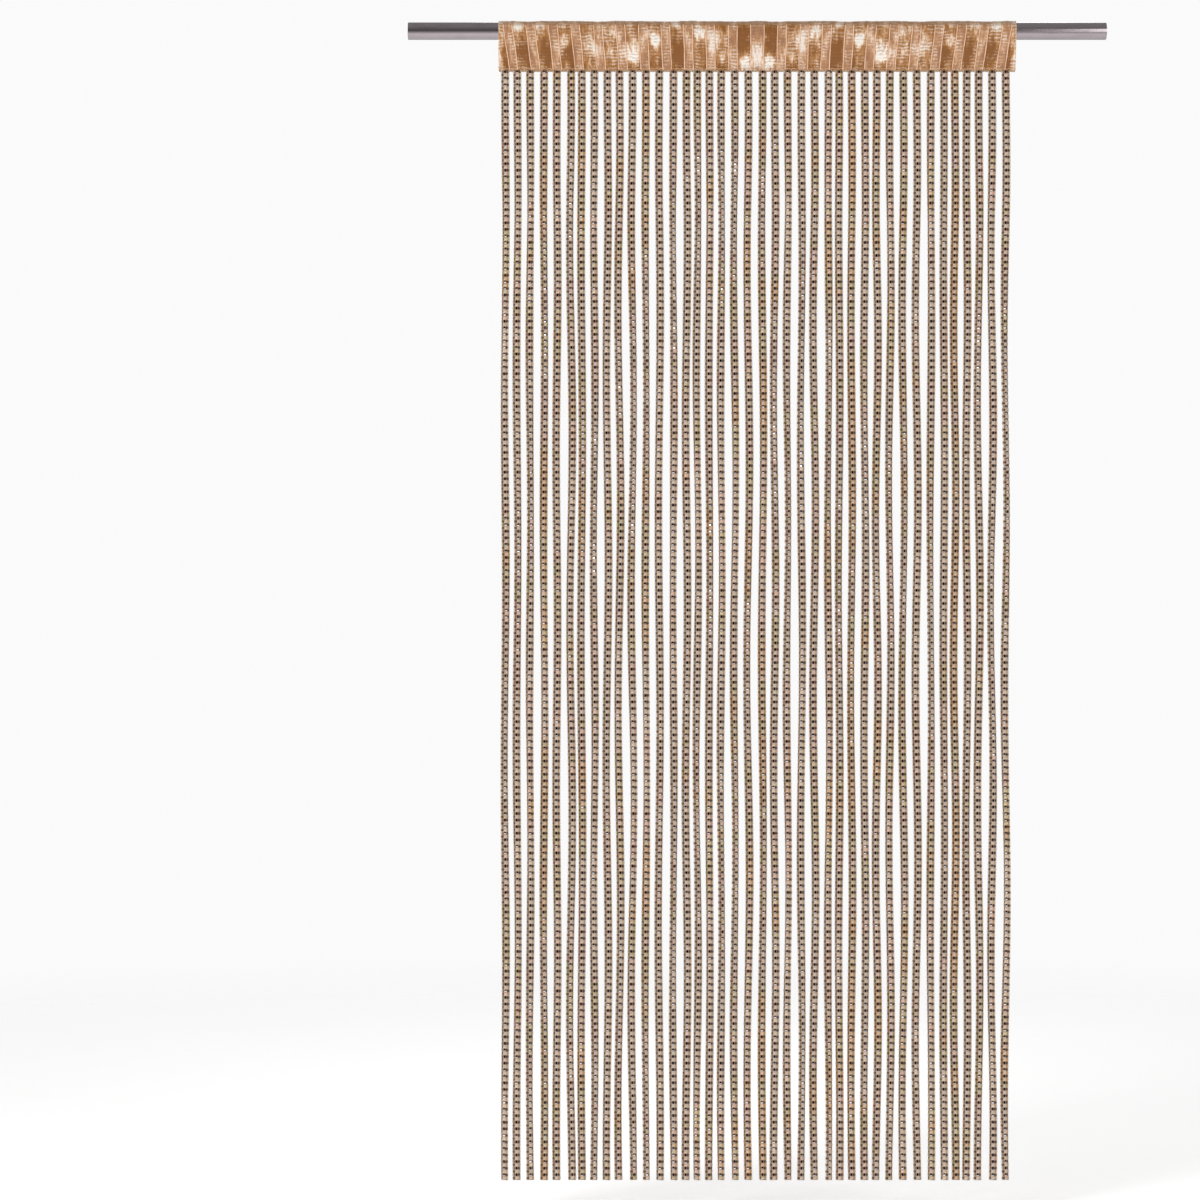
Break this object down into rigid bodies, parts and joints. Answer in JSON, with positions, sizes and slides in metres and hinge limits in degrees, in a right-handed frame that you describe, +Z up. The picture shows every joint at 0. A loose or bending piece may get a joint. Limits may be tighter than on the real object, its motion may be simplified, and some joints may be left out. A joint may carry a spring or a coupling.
{
  "type": "string curtain on a rod",
  "caption": "String curtain of flat knitted chain strands hanging from a satin rod pocket, threaded on a plain round metal rod.",
  "frame": {"origin": "middle of the rod's axis", "axes": "+X along the rod to the right as seen from the front, +Z up, -Y towards the front"},
  "size_m": [1.215, 0.039, 2.0188],
  "materials": {
    "rod": "satin grey metal",
    "header": "bronze satin with pale cords laid in, soft uneven sheen",
    "strands": "knitted chain of champagne and gold yarn with small shiny foil plates"
  },
  "bodies": {
    "root": {"rod": "rod", "header": "header", "strands": "strands"}
  },
  "joints": []
}
